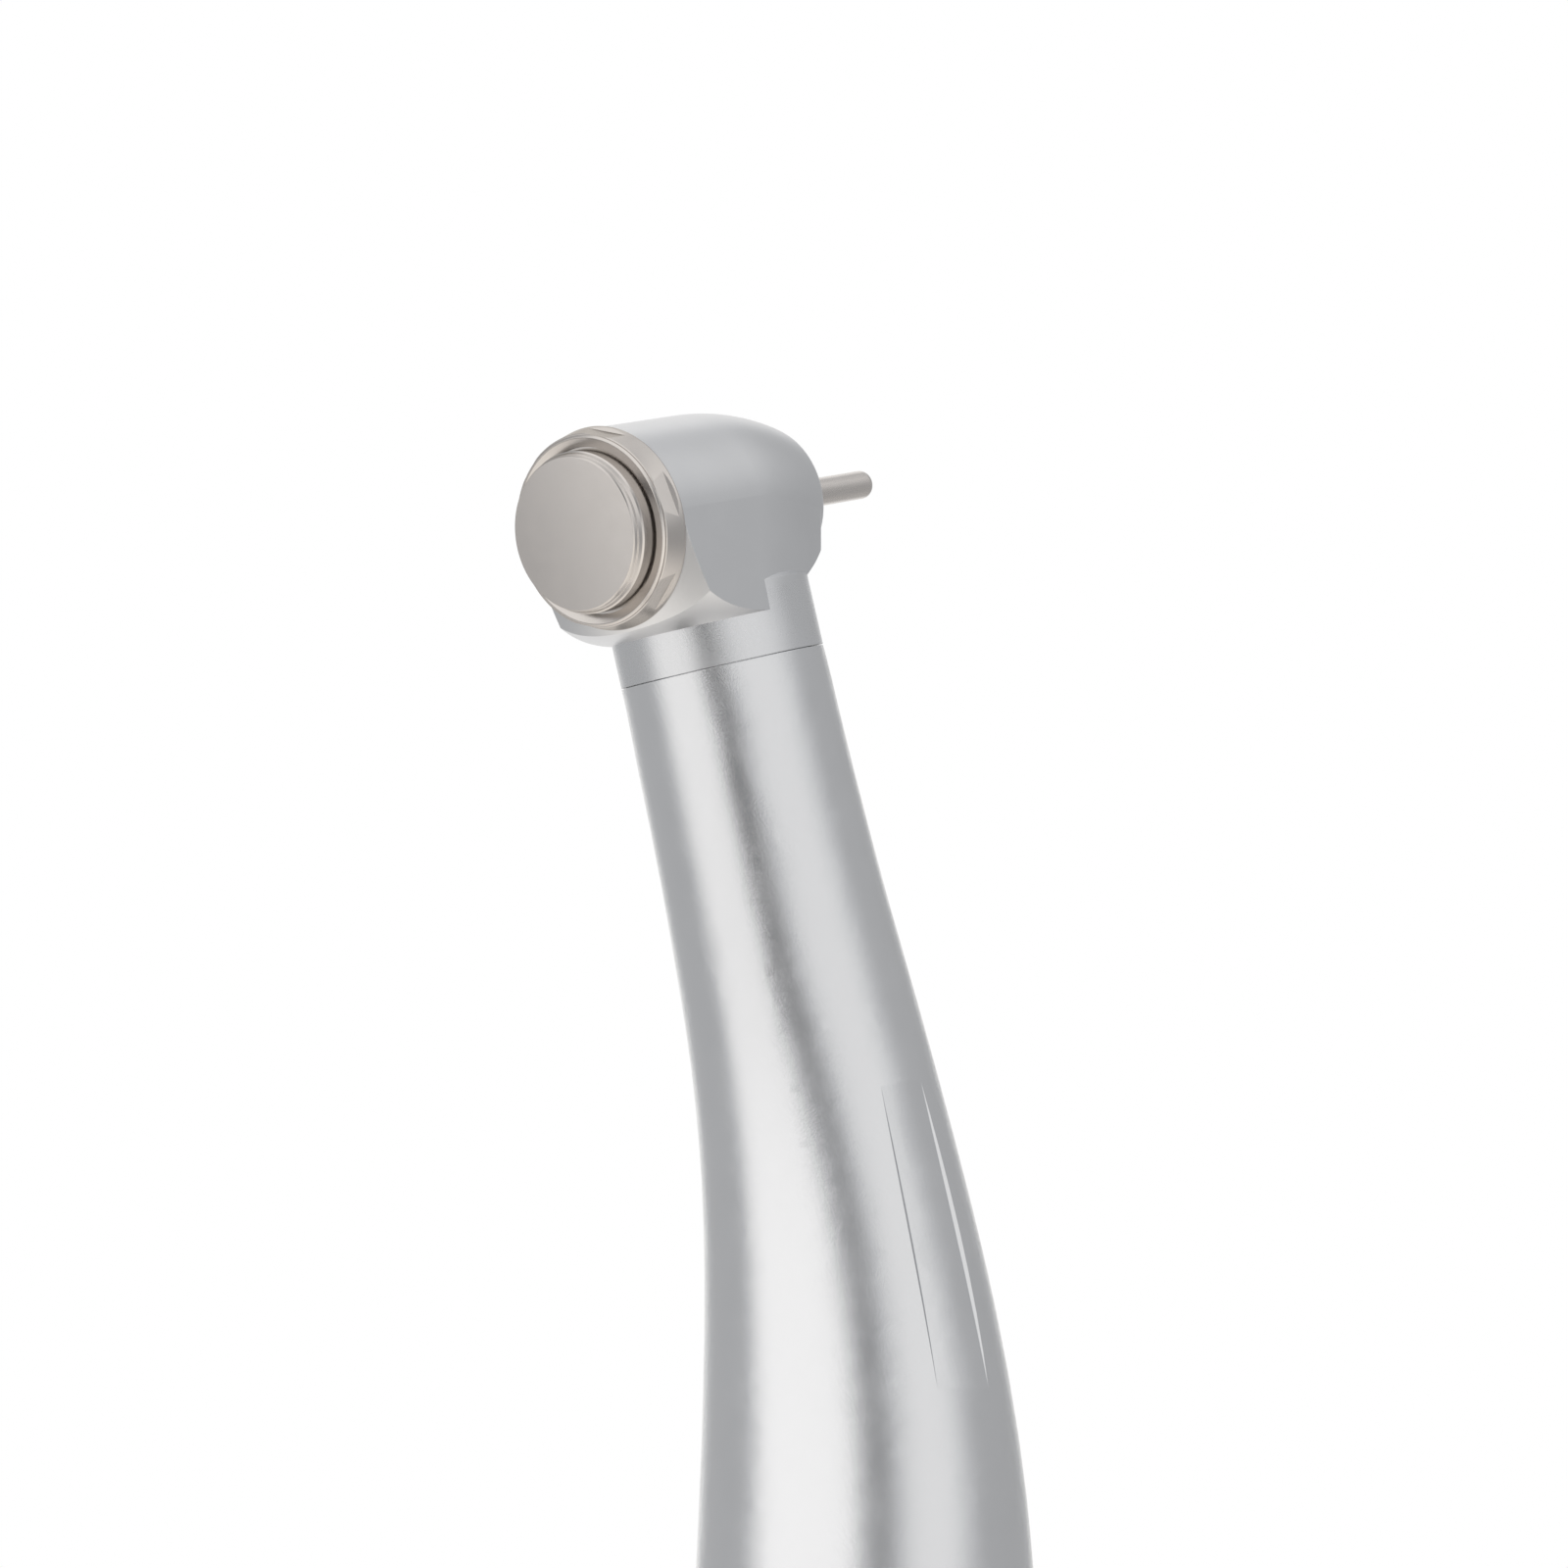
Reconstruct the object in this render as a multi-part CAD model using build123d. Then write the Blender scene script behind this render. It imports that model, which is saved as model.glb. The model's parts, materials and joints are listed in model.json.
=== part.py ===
from build123d import *
import math
import os

# High speed dental air-turbine handpiece. Millimetres and degrees.
# Row frame: +Z runs up the rear of the handle, the handle bends towards -X, and the bur points to +X.
# The origin is the centre of the hose connector's seating face.

# --- Handle centreline: straight rear part, one arc, straight neck ---
BEND = 19.6  # angle between the neck and the rear of the handle
NECK_RUN = 26.8  # straight run from the head axis down to the bend
BEND_RUN = 33.9  # length of the bend along the centreline
REAR_RUN = 58.0  # height of the lower end of the bend above the seating face
BEND_R = BEND_RUN / math.radians(BEND)

# --- Handle shell ---
SEAM_T = 8.56  # distance of the head-to-handle seam from the head axis, along the centreline
SEAM_R = 5.68
COLLAR_TOP_Z = 7.0
COLLAR_R = 8.30
HANDLE_STATIONS = [  # (distance from the head axis along the centreline, outer radius)
    (SEAM_T, SEAM_R),
    (12, 5.74),
    (20, 5.95),
    (28, 6.37),
    (36, 7.02),
    (44, 7.88),
    (52, 8.68),
    (60, 9.22),
    (68, 9.36),
    (84, 9.10),
    (100, 8.60),
    (NECK_RUN + BEND_RUN + REAR_RUN - COLLAR_TOP_Z, COLLAR_R),
]
LOFT_STEP = 4.0  # spacing of the shell's sections
HANDLE_WALL = 0.8
SEAM_GAP = 0.06  # visible joint line between screwed-together shells
SPIGOT_LEN = 4.6  # head spigot that the handle shell slides over
SPIGOT_R = 4.90
SLIP = 0.03  # radial clearance of parts that are pushed or screwed together
OVERCUT = 1.0  # how far a cutting tool runs past the face it cuts

# --- Finger flutes: a shallow recess on each side of the bend that runs out at both ends ---
FLUTE_T = 41.3
FLUTE_LEN = 17.0
FLUTE_DEPTH = 0.15
FLUTE_TURN = 6.0  # middle of the recess, from the side of the handle towards the inside of the bend
FLUTE_HALF_ANGLE = 13.2
FLUTE_WALL_SLOPE = 38.0
FLUTE_SECTIONS = 8
FLUTE_OVERRUN = 1.15  # the cutter's length as a share of the recess's

# --- Head, along the bur axis (s = 0 at the neck axis, positive towards the bur) ---
BARREL_R = 5.47
HEAD_REAR_S = -7.01
NOSE_S = 7.25
DOME_R = 18.5
NOSE_ROUND = 1.0
NECK_TOP_R = 5.67
NECK_CIRCLE_X = 6.2  # where the rear flare meets the neck, below the bur axis
FLARE_ROUND = 5.05  # radius of the rear flare's convex outline
FLARE_ROUND_OUT = 4.45  # distance of the outline's centre from the neck axis
SHOULDER_R = 5.50  # inner edge of the shoulder that slopes from the cap's edge out to the rear flare
SHOULDER_TOP_R = 10.0
SHOULDER_LEAN = 26.0
NOSE_CIRCLE_X = 4.70  # where the nose flare meets the neck
NECK_CORE_R = BARREL_R - 1.5  # the neck's core inside the barrel
NECK_CORE_X = 3.2
APRON_TILT = 20.0  # slope of the nose below the bur axis, back towards the neck
BORE_R = 4.75
CAP_THREAD_R = 5.00
CAP_THREAD_END_S = -5.75
SEAT_R = 3.60  # bearing seats in the head and in the rear carrier
FRONT_SEAT_S = (1.2, 4.3)
NOSE_BORE_R = 1.90
SPRAY_RING_S = 6.3
SPRAY_RING_R = 3.15
SPRAY_GALLERY = (2.25, 2.90, 0.25)  # inner radius, outer radius and depth of the ring's water channel
SPRAY_JETS = 4
JET_R = 0.20
JET_CIRCLE_R = 2.62
JET_LEAN = 8.0
NECK_CAVITY_R = 4.25
DRIVE_BORE_R = 0.80  # from the neck's cavity into the turbine chamber
EXHAUST_BORE_R = 1.20
CHAMBER_BORE_X = 3.0
CHAMBER_BORE_S = -1.3
GALLERY_R = 0.30  # water gallery from the neck's cavity to the spray ring
GALLERY_START = (NECK_CIRCLE_X + 0.6, 3.5)
GALLERY_END = (2.6, SPRAY_RING_S + 0.1)

# --- Cap and push button ---
CAP_R = 5.56
CAP_FACE_R = 5.08
CAP_FACE_S = -8.45
CAP_BAND_R = 5.27  # front of the conical band that carries the wrench notches
CAP_BORE_R = 4.52
CAP_SHOULDER_S = -8.15
CAP_COUNTERBORE_R = 4.74
NOTCH_COUNT = 6
NOTCH_TURN = 20.5  # first wrench notch, from the top of the head
NOTCH_FLOOR_R = 5.34
NOTCH_WALL_S = -7.38
NOTCH_WALL_LEAN = 40.0
NOTCH_SLOPE = 8.0
NOTCH_REACH = 1.3
NOTCH_TOOL_WIDTH = 8.0
BUTTON_FACE_S = -9.76
BUTTON_FACE_R = 4.12
BUTTON_R = 4.42
BUTTON_STEP_R = 4.34
BUTTON_STEP_S = -9.20
BUTTON_PLATE = 0.95
BUTTON_FLANGE_R = 4.68
BUTTON_FLANGE_S = (-8.10, -7.90)
BUTTON_SKIRT_WALL = 0.45
BUTTON_BOSS_R = 1.20
BUTTON_BOSS_END_S = -7.10
BUTTON_SPRING = (3.0, 0.15, 2.5)  # coil radius, wire radius and turns

# --- Turbine cartridge ---
BEARING_OD_R = 3.175
BEARING_ID_R = 1.5875
BEARING_WIDTH = 2.38
BALL_R = 0.50
BALL_COUNT = 7
CAGE_HALF_WIDTH = 0.75
PITCH_R = (BEARING_OD_R + BEARING_ID_R) / 2
INNER_RACE_R = 2.02
OUTER_RACE_R = 2.74
RACE_PLAY = 0.02
REAR_BEARING_S = -6.10
FRONT_BEARING_S = 1.55
CARRIER_S = (-6.90, -3.70)
CARRIER_R = 4.70
CARRIER_PLATE = 0.45
CARRIER_GROOVE_S = (-5.2, -4.5)
IMPELLER_R = 4.40
IMPELLER_S = (-3.30, 0.70)
IMPELLER_HUB_R = 2.10
SPINDLE_HOLE_R = 1.90
BUCKET_COUNT = 12
BUCKET_R = 0.90
SPINDLE_S = (-6.20, 6.00)
SPINDLE_BORE_R = 1.06
SPINDLE_LIP = 1.2  # length of the narrow mouth that guides the bur
COLLET_S = (-4.90, 3.60)
COLLET_SLOTS = 3
COLLET_SLOT = (0.22, 1.5, 2.8)  # slot's width, depth and length
PLUNGER_S = (-6.75, -4.95)
PLUNGER_HEAD = 0.5
PLUNGER_STEM_R = 0.5
CHUCK_SPRING = (0.78, 0.09, 3)  # coil radius, wire radius and turns

# --- Bur: friction-grip shank ---
BUR_R = 0.80
BUR_S = (-4.20, 15.95)
BUR_TIP_ROUND = 0.45
BUR_BUTT_CHAMFER = 0.15

# --- Hoses' rear connector ---
PILOT_R = 5.00  # plain pilot at the root of the threaded spigot
PILOT_LEN = 1.6
THREAD_R = 4.80
THREAD_PITCH = 0.80
THREAD_DEPTH = 0.42
SPIGOT_END_Z = -7.2
CONNECTOR_R = 7.00
CONNECTOR_TOP_Z = 11.0
CONNECTOR_GROOVE_Z = (8.0, 9.0)
CONNECTOR_LIP = 1.6  # height of the lip that the collar rests on
CONNECTOR_LIP_R = COLLAR_R - 0.6
SHELL_SEAT_Z = 12.0  # top of the shell's bore for the connector
TUBE_END_Z = 3.0
NIPPLE_END_Z = -10.4
NIPPLE_STEP = 0.25  # the free end is this much slimmer than the seated end
NIPPLE_WALL = 0.25
COLLAR_LOW_Z = 0.4
KNURL_COUNT = 40
KNURL_WIDTH = 0.42
KNURL_Z = (2.1, 5.7)
# Line name: (offset towards the bur side, offset along Y, outer radius, bore radius)
LINES = {
    "drive_air": (0.0, 2.15, 1.45, 1.15),
    "water": (2.65, -0.35, 0.95, 0.70),
    "chip_air": (-2.65, -0.35, 0.95, 0.70),
}
EXHAUST = (0.0, -2.25, 1.35)  # exhaust port: offsets and radius
DISC_THICKNESS = 2.0
SPACERS = {40.0: 5.6, 78.0: 7.4}  # distance from the head axis and radius of each tube spacer
BULKHEAD_T = 9.5
TUBE_START_T = BULKHEAD_T - DISC_THICKNESS / 2
NECK_O_RING_T = 11.0
NECK_O_RING_WIRE = 0.17
NECK_GROOVE_HALF = 0.22
VALVE_T = 92.0
VALVE_HALF = 4.0
VALVE_WALL = 0.73

bend = math.radians(BEND)
HEAD_X = -(NECK_RUN * math.sin(bend) + BEND_R * (1 - math.cos(bend)))
HEAD_Z = REAR_RUN + NECK_RUN * math.cos(bend) + BEND_R * math.sin(bend)
REAR_T = NECK_RUN + BEND_RUN + REAR_RUN  # centreline distance of the seating face
# In the head's own frame X points down the neck, Y across and Z along the bur.
HEAD = Plane(
    origin=(HEAD_X, 0, HEAD_Z),
    x_dir=(math.sin(bend), 0, -math.cos(bend)),
    z_dir=(math.cos(bend), 0, math.sin(bend)),
)
shell_profile = Spline(*HANDLE_STATIONS)  # X is the distance from the head axis, Y the outer radius


def turned(*outline):
    """Solid turned about local Z from (radius, height) points."""
    return revolve(make_face(Plane.XZ * Polyline(*outline, close=True)), Axis.Z)


def ring(inner, outer, low, high):
    return turned((inner, low), (outer, low), (outer, high), (inner, high))


def rod(radius, low, high):
    return Pos(0, 0, low) * extrude(Circle(radius), high - low)


def coil(radius, wire, turns, low, high):
    """Open compression spring whose wire centre runs from low to high."""
    path = Pos(0, 0, low) * Helix((high - low) / turns, high - low, radius)
    section = Plane(path @ 0, z_dir=path % 0) * Circle(wire)
    return sweep(section, path, is_frenet=True)


def o_ring(major, minor, height):
    return Pos(0, 0, height) * Torus(major, minor)


def around(shape, count, radius, height):
    """Copies of a shape spaced evenly about local Z."""
    return [Rot(0, 0, n * 360 / count) * Pos(radius, 0, height) * shape for n in range(count)]


def centre(t):
    """Plane at distance t from the head axis, its Z down the centreline and its X to the bur side."""
    turn = bend if t <= NECK_RUN else max(0.0, bend - (t - NECK_RUN) / BEND_R)
    straight = min(t, NECK_RUN)
    rear = max(0.0, t - NECK_RUN - BEND_RUN)
    x = HEAD_X + straight * math.sin(bend) + BEND_R * (math.cos(turn) - math.cos(bend))
    z = HEAD_Z - straight * math.cos(bend) - BEND_R * (math.sin(bend) - math.sin(turn)) - rear
    down = Vector(math.sin(turn), 0, -math.cos(turn))
    return Plane(origin=(x, 0, z), x_dir=(math.cos(turn), 0, math.sin(turn)), z_dir=down)


def line_path(dx, dy, start, end):
    """Straight, arc and straight along the centreline, offset by dx and dy."""
    stations = [start, NECK_RUN, NECK_RUN + BEND_RUN / 2, NECK_RUN + BEND_RUN, end]
    a, b, c, d, e = [centre(t).from_local_coords(Vector(dx, -dy, 0)) for t in stations]
    return Wire([Line(a, b).edge(), ThreePointArc(b, c, d).edge(), Line(d, e).edge()])


# --- Handle shell ---


def shell_radius(t):
    """Outer radius of the handle at distance t, on a smooth curve through its stations."""
    low, high = 0.0, 1.0
    while high - low > 1e-6:
        middle = (low + high) / 2
        if (shell_profile @ middle).X < t:
            low = middle
        else:
            high = middle
    return (shell_profile @ low).Y


def handle_loft(start, end, inset):
    """Solid along the centreline that lies the inset below the handle's outer surface."""
    count = math.ceil((end - start) / LOFT_STEP)
    distances = [start + (end - start) * n / count for n in range(count + 1)]
    return loft([centre(t) * Circle(shell_radius(t) - inset) for t in distances])


def flute_face(floor):
    """Section of the flute's cutter: a floor about the centreline between two sloping walls."""
    reach = math.tan(math.radians(FLUTE_WALL_SLOPE))
    spread = FLUTE_HALF_ANGLE + math.degrees(OVERCUT / reach / (floor + OVERCUT))
    low = [Vector(floor, 0).rotate(Axis.Z, turn) for turn in (-FLUTE_HALF_ANGLE, 0, FLUTE_HALF_ANGLE)]
    high = [Vector(floor + OVERCUT, 0).rotate(Axis.Z, turn) for turn in (-spread, 0, spread)]
    edges = [ThreePointArc(*low), Line(low[2], high[2]), ThreePointArc(*high), Line(high[0], low[0])]
    return make_face(Curve() + edges)


def flute(side):
    sections = []
    for step in range(FLUTE_SECTIONS + 1):
        share = FLUTE_OVERRUN * (2 * step / FLUTE_SECTIONS - 1)
        t = FLUTE_T + share * FLUTE_LEN / 2
        floor = shell_radius(t) - FLUTE_DEPTH * (1 - share**2)
        sections.append(centre(t) * Rot(0, 0, side * (90 + FLUTE_TURN)) * flute_face(floor))
    return loft(sections)


def handle_shell():
    shell = handle_loft(SEAM_T + SEAM_GAP, REAR_T - COLLAR_TOP_Z - SEAM_GAP, 0)
    spigot_end = SEAM_T + SPIGOT_LEN + 0.4
    shell -= handle_loft(spigot_end - 0.1, REAR_T - SHELL_SEAT_Z, HANDLE_WALL)
    shell -= centre(SEAM_T) * rod(SPIGOT_R + SLIP, -OVERCUT, spigot_end - SEAM_T)
    shell -= rod(CONNECTOR_R + SLIP, 0, SHELL_SEAT_Z)
    for side in (-1, 1):
        shell -= flute(side)
    return shell


# --- Head ---


def barrel_radius(s):
    """Radius of the head's barrel where it narrows towards the nose."""
    return BARREL_R - DOME_R + math.sqrt(DOME_R**2 - s**2)


def head_plan():
    """Half outline of the head barrel, (radius, distance along the bur axis)."""
    nose = (barrel_radius(NOSE_S), NOSE_S)
    edges = [
        Line((0, NOSE_S), (0, HEAD_REAR_S)),
        Line((0, HEAD_REAR_S), (BARREL_R, HEAD_REAR_S)),
        Line((BARREL_R, HEAD_REAR_S), (BARREL_R, 0)),
        ThreePointArc((BARREL_R, 0), (barrel_radius(NOSE_S / 2), NOSE_S / 2), nose),
        Line(nose, (0, NOSE_S)),
    ]
    face = make_face(Curve() + edges)
    corner = face.vertices().sort_by(Axis.Y)[-2:].sort_by(Axis.X)[-1]
    return fillet(corner, NOSE_ROUND)


def nose_flare():
    """Cone about the neck axis that opens upwards at 45 degrees from the neck's circle."""
    top = -BARREL_R - OVERCUT
    top_r = NECK_TOP_R + NOSE_CIRCLE_X - top
    outline = Polyline(
        (top, 0), (top, top_r), (NOSE_CIRCLE_X, NECK_TOP_R), (NOSE_CIRCLE_X, 0), close=True
    )
    return revolve(make_face(outline), Axis.X)


def rear_flare():
    """Bowl about the neck axis whose convex side springs from the neck's circle."""
    top = -BARREL_R - OVERCUT
    start = math.asin((NECK_TOP_R - FLARE_ROUND_OUT) / FLARE_ROUND)
    middle_x = NECK_CIRCLE_X - FLARE_ROUND * math.cos(start)
    turns = (start, (start + math.pi / 2) / 2, math.pi / 2)
    low, middle, wide = [
        (middle_x + FLARE_ROUND * math.cos(turn), FLARE_ROUND_OUT + FLARE_ROUND * math.sin(turn))
        for turn in turns
    ]
    edges = [
        ThreePointArc(low, middle, wide),
        Polyline(wide, (top, wide[1]), (top, 0), (NECK_CIRCLE_X, 0), low),
    ]
    return revolve(make_face(Curve() + edges), Axis.X)


def rear_shoulder():
    """Cone about the bur axis that opens forwards from the cap's edge."""
    top_s = HEAD_REAR_S + (SHOULDER_TOP_R - SHOULDER_R) * math.tan(math.radians(SHOULDER_LEAN))
    rear = (SHOULDER_R, HEAD_REAR_S)
    top = (SHOULDER_TOP_R, top_s)
    outline = Polyline((0, HEAD_REAR_S), rear, top, (SHOULDER_TOP_R, 0), (0, 0), close=True)
    return revolve(Plane.XZ * make_face(outline), Axis.Z)


def plan_skirt(tilt):
    """The head's plan carried down beside the neck, leaning back by the tilt."""
    lean = math.radians(tilt)
    plan = Plane.YZ * head_plan()
    half = extrude(plan, NECK_CIRCLE_X / math.cos(lean), dir=(math.cos(lean), 0, -math.sin(lean)))
    return half + mirror(half, Plane.XZ)


def neck_root():
    """The neck from the barrel down to the seam, with the spigot that the handle slides over."""
    spigot_end = SEAM_T + SPIGOT_LEN
    outline = Polyline(
        (0, 0),
        (0, NECK_CORE_R),
        (NECK_CORE_X, NECK_CORE_R),
        (NOSE_CIRCLE_X - 0.15, NECK_TOP_R),
        (SEAM_T, SEAM_R),
        (SEAM_T, SPIGOT_R),
        (spigot_end, SPIGOT_R),
        (spigot_end, 0),
        close=True,
    )
    return revolve(make_face(outline), Axis.X)


def head_body():
    barrel = revolve(Plane.XZ * head_plan(), Axis.Z)
    skirt = plan_skirt(0) & plan_skirt(APRON_TILT)
    step_s = -math.sqrt(NECK_TOP_R**2 - BARREL_R**2)
    big = 8 * BARREL_R
    rear_half = Pos(0, 0, step_s - big / 2) * Box(big, big, big)
    rear_skirt = skirt & rear_flare() & rear_shoulder() & rear_half
    front_skirt = (skirt & nose_flare()) - rear_half
    return barrel + rear_skirt + front_skirt + neck_root()


def head_housing():
    body = head_body()
    body -= rod(BORE_R, HEAD_REAR_S - OVERCUT, FRONT_SEAT_S[0])
    body -= rod(CAP_THREAD_R, HEAD_REAR_S - OVERCUT, CAP_THREAD_END_S)
    body -= rod(SEAT_R, FRONT_SEAT_S[0] - 0.1, FRONT_SEAT_S[1])
    body -= rod(NOSE_BORE_R, 0, NOSE_S + OVERCUT)
    body -= ring(NOSE_BORE_R - 0.1, SPRAY_RING_R, SPRAY_RING_S, NOSE_S + OVERCUT)
    groove = ring(SPIGOT_R - 0.36, SPIGOT_R + OVERCUT, -NECK_GROOVE_HALF, NECK_GROOVE_HALF)
    body -= Pos(NECK_O_RING_T, 0, 0) * (Plane.YZ * groove)
    cavity_x = NECK_CIRCLE_X + 0.3
    cavity = rod(NECK_CAVITY_R, 0, SEAM_T + SPIGOT_LEN + OVERCUT - cavity_x)
    body -= Pos(cavity_x, 0, 0) * (Plane.YZ * cavity)
    for y, radius in ((LINES["drive_air"][1], DRIVE_BORE_R), (EXHAUST[1], EXHAUST_BORE_R)):
        passage = rod(radius, 0, cavity_x - CHAMBER_BORE_X + OVERCUT)
        body -= Pos(CHAMBER_BORE_X, y, CHAMBER_BORE_S) * (Plane.YZ * passage)
    start = Vector(GALLERY_START[0], 0, GALLERY_START[1])
    run = Vector(GALLERY_END[0], 0, GALLERY_END[1]) - start
    body -= Plane(origin=start, z_dir=run) * rod(GALLERY_R, 0, run.length)
    return HEAD * body


def spray_ring():
    """Nose insert whose jets aim at the bur tip."""
    inner, outer, depth = SPRAY_GALLERY
    insert = ring(NOSE_BORE_R, SPRAY_RING_R - 0.01, SPRAY_RING_S + 0.01, NOSE_S)
    insert -= ring(inner, outer, SPRAY_RING_S - OVERCUT, SPRAY_RING_S + depth)
    jet = Rot(0, -JET_LEAN, 0) * rod(JET_R, -OVERCUT, 2 * OVERCUT)
    for hole in around(jet, SPRAY_JETS, JET_CIRCLE_R, SPRAY_RING_S):
        insert -= Rot(0, 0, 180 / SPRAY_JETS) * hole
    return HEAD * insert


# --- Cap and push button ---


def head_cap():
    outline = [
        (CAP_BORE_R, CAP_SHOULDER_S),
        (CAP_BORE_R, CAP_FACE_S + 0.14),
        (CAP_FACE_R - 0.08, CAP_FACE_S + 0.01),
        (CAP_FACE_R, CAP_FACE_S),
        (CAP_FACE_R + 0.07, CAP_FACE_S + 0.04),
        (CAP_BAND_R, CAP_FACE_S + 0.17),
        (CAP_R - 0.02, HEAD_REAR_S - 0.15),
        (CAP_R, HEAD_REAR_S - 0.09),
        (CAP_R - 0.05, HEAD_REAR_S),
        (CAP_THREAD_R - SLIP, HEAD_REAR_S),
        (CAP_THREAD_R - SLIP, CAP_THREAD_END_S - 0.05),
        (CAP_COUNTERBORE_R, CAP_THREAD_END_S - 0.05),
        (CAP_COUNTERBORE_R, CAP_SHOULDER_S),
    ]
    cap = turned(*outline)
    drop = NOTCH_REACH * math.tan(math.radians(NOTCH_SLOPE))
    rise = OVERCUT * math.tan(math.radians(NOTCH_WALL_LEAN))
    wedge = Polyline(
        (NOTCH_FLOOR_R, NOTCH_WALL_S),
        (NOTCH_FLOOR_R + OVERCUT, NOTCH_WALL_S + rise),
        (NOTCH_FLOOR_R + OVERCUT, NOTCH_WALL_S - NOTCH_REACH),
        (NOTCH_FLOOR_R - drop, NOTCH_WALL_S - NOTCH_REACH),
        close=True,
    )
    tool = extrude(make_face(Plane.XZ * wedge), NOTCH_TOOL_WIDTH / 2, both=True)
    top = 180 + NOTCH_TURN
    for notch in range(NOTCH_COUNT):
        cap -= Rot(0, 0, top + notch * 360 / NOTCH_COUNT) * tool
    return HEAD * cap


def push_button():
    plate_end = BUTTON_FACE_S + BUTTON_PLATE
    outline = [
        (0, BUTTON_FACE_S),
        (BUTTON_FACE_R, BUTTON_FACE_S),
        (BUTTON_FACE_R + 0.08, BUTTON_FACE_S + 0.07),
        (BUTTON_STEP_R, BUTTON_STEP_S),
        (BUTTON_R, BUTTON_STEP_S + 0.07),
        (BUTTON_R, BUTTON_FLANGE_S[0]),
        (BUTTON_FLANGE_R, BUTTON_FLANGE_S[0]),
        (BUTTON_FLANGE_R, BUTTON_FLANGE_S[1]),
        (BUTTON_R - BUTTON_SKIRT_WALL, BUTTON_FLANGE_S[1]),
        (BUTTON_R - BUTTON_SKIRT_WALL, plate_end),
        (BUTTON_BOSS_R, plate_end),
        (BUTTON_BOSS_R, BUTTON_BOSS_END_S),
        (0, BUTTON_BOSS_END_S),
    ]
    return HEAD * turned(*outline)


def button_spring():
    radius, wire, turns = BUTTON_SPRING
    low = BUTTON_FACE_S + BUTTON_PLATE + wire + 0.02
    return HEAD * coil(radius, wire, turns, low, CARRIER_S[0] - wire - 0.02)


# --- Turbine cartridge ---


def rear_carrier():
    """Holder of the rear bearing, closed behind by a plate with a hole for the release plunger."""
    plate_s = CARRIER_S[0] + CARRIER_PLATE
    carrier = ring(SEAT_R, CARRIER_R, plate_s, CARRIER_S[1])
    carrier += ring(SPINDLE_HOLE_R, CARRIER_R, CARRIER_S[0], plate_s)
    return HEAD * (carrier - ring(CARRIER_R - 0.55, CARRIER_R + OVERCUT, *CARRIER_GROOVE_S))


def carrier_o_ring():
    return HEAD * o_ring(CARRIER_R - 0.26, 0.29, sum(CARRIER_GROOVE_S) / 2)


def wave_washer():
    """Preload washer behind the rear bearing's outer race."""
    low = CARRIER_S[0] + CARRIER_PLATE + 0.02
    return HEAD * ring(OUTER_RACE_R, SEAT_R - 0.05, low, REAR_BEARING_S - 0.02)


def race(inner, outer, low):
    """Bearing ring with the groove that the balls run in."""
    groove = o_ring(PITCH_R, BALL_R + RACE_PLAY, low + BEARING_WIDTH / 2)
    return HEAD * (ring(inner, outer, low, low + BEARING_WIDTH) - groove)


def balls(low):
    set_of_balls = around(Sphere(BALL_R), BALL_COUNT, PITCH_R, low + BEARING_WIDTH / 2)
    return HEAD * Compound(children=set_of_balls)


def cage(low):
    middle = low + BEARING_WIDTH / 2
    low_edge, high_edge = middle - CAGE_HALF_WIDTH, middle + CAGE_HALF_WIDTH
    band = ring(INNER_RACE_R + 0.10, OUTER_RACE_R - 0.10, low_edge, high_edge)
    pocket = Rot(0, 90, 0) * rod(BALL_R + 0.04, -OVERCUT, OVERCUT)
    for hole in around(pocket, BALL_COUNT, PITCH_R, middle):
        band -= hole
    return HEAD * band


def bearing_o_ring(low):
    """Soft mount between a bearing's outer race and its seat."""
    major = (SEAT_R + BEARING_OD_R) / 2
    return HEAD * o_ring(major, 0.20, low + BEARING_WIDTH / 2)


def impeller():
    low, high = IMPELLER_S
    wheel = ring(BEARING_ID_R, IMPELLER_HUB_R, low, high)
    wheel += ring(IMPELLER_HUB_R, IMPELLER_R, low + 0.4, high - 0.4)
    for bucket in around(Sphere(BUCKET_R), BUCKET_COUNT, IMPELLER_R + 0.1, (low + high) / 2):
        wheel -= bucket
    return HEAD * wheel


def spindle():
    low, high = SPINDLE_S
    journal = BEARING_ID_R - 0.01
    shoulder = INNER_RACE_R - 0.1
    mouth = BUR_R + 0.08
    tube = turned(
        (SPINDLE_BORE_R, low),
        (journal, low),
        (journal, IMPELLER_S[1] + 0.05),
        (shoulder, IMPELLER_S[1] + 0.05),
        (shoulder, FRONT_BEARING_S - 0.02),
        (journal, FRONT_BEARING_S - 0.02),
        (journal, high - 0.15),
        (journal - 0.15, high),
        (mouth, high),
        (mouth, high - SPINDLE_LIP),
        (SPINDLE_BORE_R, high - SPINDLE_LIP),
    )
    return HEAD * tube


def chuck_collet():
    low, high = COLLET_S
    width, depth, length = COLLET_SLOT
    collet = ring(BUR_R + 0.02, SPINDLE_BORE_R - 0.01, low, high)
    slot = Box(depth, width, 2 * length)
    for cut in around(slot, COLLET_SLOTS, depth, high):
        collet -= cut
    return HEAD * collet


def release_plunger():
    low, high = PLUNGER_S
    head = rod(SPINDLE_BORE_R - 0.06, low, low + PLUNGER_HEAD)
    return HEAD * (head + rod(PLUNGER_STEM_R, low, high))


def chuck_spring():
    radius, wire, turns = CHUCK_SPRING
    low = PLUNGER_S[0] + PLUNGER_HEAD + wire + 0.01
    return HEAD * coil(radius, wire, turns, low, COLLET_S[0] - wire - 0.01)


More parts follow.
